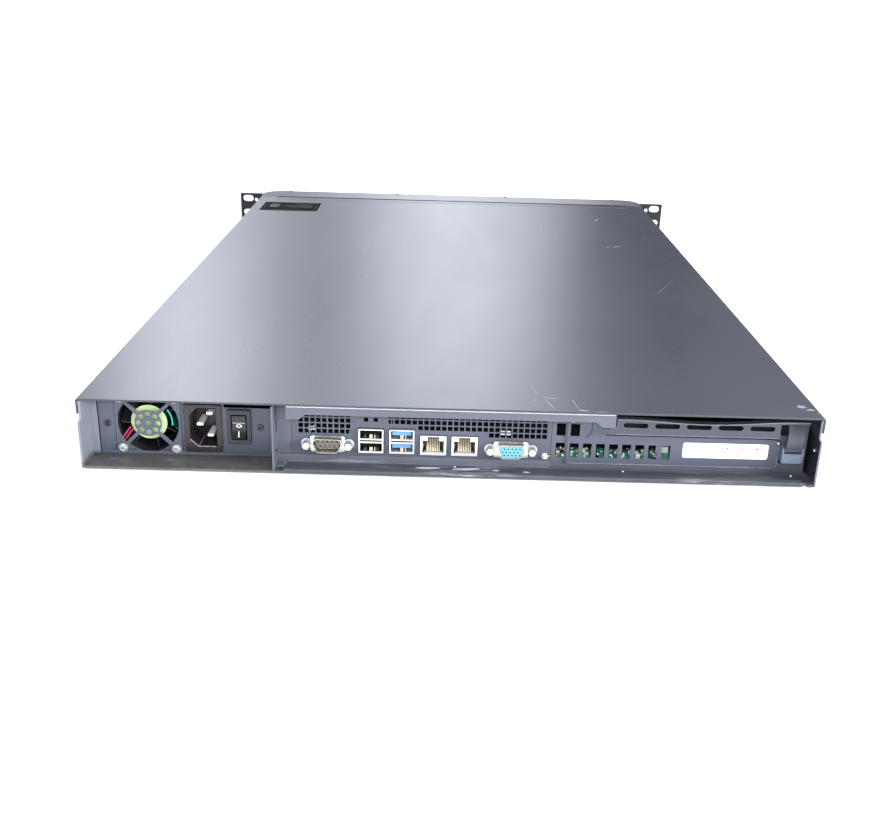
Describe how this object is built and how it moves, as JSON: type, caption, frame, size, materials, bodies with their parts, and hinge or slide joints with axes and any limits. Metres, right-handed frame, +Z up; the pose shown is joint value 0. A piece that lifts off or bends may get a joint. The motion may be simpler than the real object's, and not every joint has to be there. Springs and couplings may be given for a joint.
{
  "type": "firewall appliance",
  "caption": "Low rack-mount network firewall appliance with a rear mains inlet, grilled fan, data sockets, expansion bay, rack ears and a lift-off cover.",
  "frame": {"origin": "middle of the underside, at the centre of the bounding box", "axes": "+Y towards the rear panel, along the depth; +X towards the power supply; +Z up"},
  "size_m": [0.4826, 0.67, 0.0435],
  "materials": {
    "case_paint": "satin dark grey-lavender powder coat",
    "inner_paint": "satin blue-grey powder coat",
    "ear_paint": "matte black paint",
    "zinc": "zinc-plated sheet",
    "tin": "bright tin plate",
    "aluminium": "satin",
    "board": "green solder mask",
    "black_plastic": "fine moulded grain",
    "inlet_plastic": "smooth moulded",
    "white_plastic": "smooth moulded",
    "usb3_blue": "plated shell with blue insert",
    "vga_blue": "plated shell with blue insert",
    "lens": "clear moulded lens",
    "cable": "braided sleeve"
  },
  "bodies": {
    "chassis": {"chassis_base": "inner_paint", "cpu_heatsink": "aluminium", "cpu_socket": "white_plastic", "dimm": "board", "dimm_slot": "black_plastic", "drive_cable": "cable", "drive_cage": "zinc", "ear_left": "ear_paint", "ear_right": "ear_paint", "expansion_slot": "white_plastic", "fan_bracket": "zinc", "fan_frame_1": "black_plastic", "fan_frame_2": "black_plastic", "fan_frame_3": "black_plastic", "front_bezel": "case_paint", "front_board": "board", "front_panel": "inner_paint", "hard_drive_1": "aluminium", "hard_drive_2": "aluminium", "id_led": "lens", "inlet_body": "inlet_plastic", "inlet_pin_earth": "tin", "inlet_pin_line": "tin", "inlet_pin_neutral": "tin", "latch_block": "aluminium", "light_pipe": "lens", "mainboard": "board", "power_harness": "cable", "psu_back_plate": "inner_paint", "psu_board": "board", "psu_case": "zinc", "psu_divider": "inner_paint", "psu_fan_frame": "black_plastic", "psu_fan_screw_1": "tin", "psu_fan_screw_2": "tin", "psu_fan_screw_3": "tin", "psu_fan_screw_4": "tin", "psu_plate_screw_1": "zinc", "psu_plate_screw_2": "zinc", "rear_io_plate": "inner_paint", "rear_top_rail": "inner_paint", "rj45_1": "tin", "rj45_2": "tin", "serial_port": "tin", "slot_bar": "inner_paint", "slot_cover": "inner_paint", "slot_wall": "inner_paint", "switch_frame": "black_plastic", "usb2_stack": "tin", "usb3_stack": "usb3_blue", "vga_port": "vga_blue"},
    "cover": {"top_cover": "case_paint"},
    "psu_fan": {"psu_fan_rotor": "black_plastic"},
    "fan_1": {"fan_rotor_1": "black_plastic"},
    "fan_2": {"fan_rotor_2": "black_plastic"},
    "fan_3": {"fan_rotor_3": "black_plastic"},
    "rocker": {"switch_rocker": "black_plastic"},
    "latch": {"slot_latch": "black_plastic"},
    "power_key": {"power_button": "black_plastic"},
    "reset_key": {"reset_button": "black_plastic"}
  },
  "joints": [
    {"name": "cover_lift", "type": "slide", "parent": "chassis", "child": "cover", "axis": [0, 0, 1], "range_m": [0, 0.12]},
    {"name": "psu_fan_spin", "type": "hinge", "parent": "chassis", "child": "psu_fan", "pos_m": [0.1797, 0.3063, 0.0215], "axis": [0, 1, 0], "continuous": true},
    {"name": "fan_1_spin", "type": "hinge", "parent": "chassis", "child": "fan_1", "pos_m": [-0.16, -0.043, 0.0217], "axis": [0, 1, 0], "continuous": true},
    {"name": "fan_2_spin", "type": "hinge", "parent": "chassis", "child": "fan_2", "pos_m": [-0.08, -0.043, 0.0217], "axis": [0, 1, 0], "continuous": true},
    {"name": "fan_3_spin", "type": "hinge", "parent": "chassis", "child": "fan_3", "pos_m": [0, -0.043, 0.0217], "axis": [0, 1, 0], "continuous": true},
    {"name": "rocker_tilt", "type": "hinge", "parent": "chassis", "child": "rocker", "pos_m": [0.1253, 0.3154, 0.02115], "axis": [-1, 0, 0], "range_deg": [0, 14]},
    {"name": "latch_swing", "type": "hinge", "parent": "chassis", "child": "latch", "pos_m": [-0.2024, 0.3234, 0.0184], "axis": [-1, 0, 0], "range_deg": [0, 60]},
    {"name": "power_press", "type": "slide", "parent": "chassis", "child": "power_key", "axis": [0, 1, 0], "range_m": [0, 0.002], "stiffness_N_per_m": 250, "springref_m": -0.002},
    {"name": "reset_press", "type": "slide", "parent": "chassis", "child": "reset_key", "axis": [0, 1, 0], "range_m": [0, 0.002], "stiffness_N_per_m": 150, "springref_m": -0.002}
  ]
}
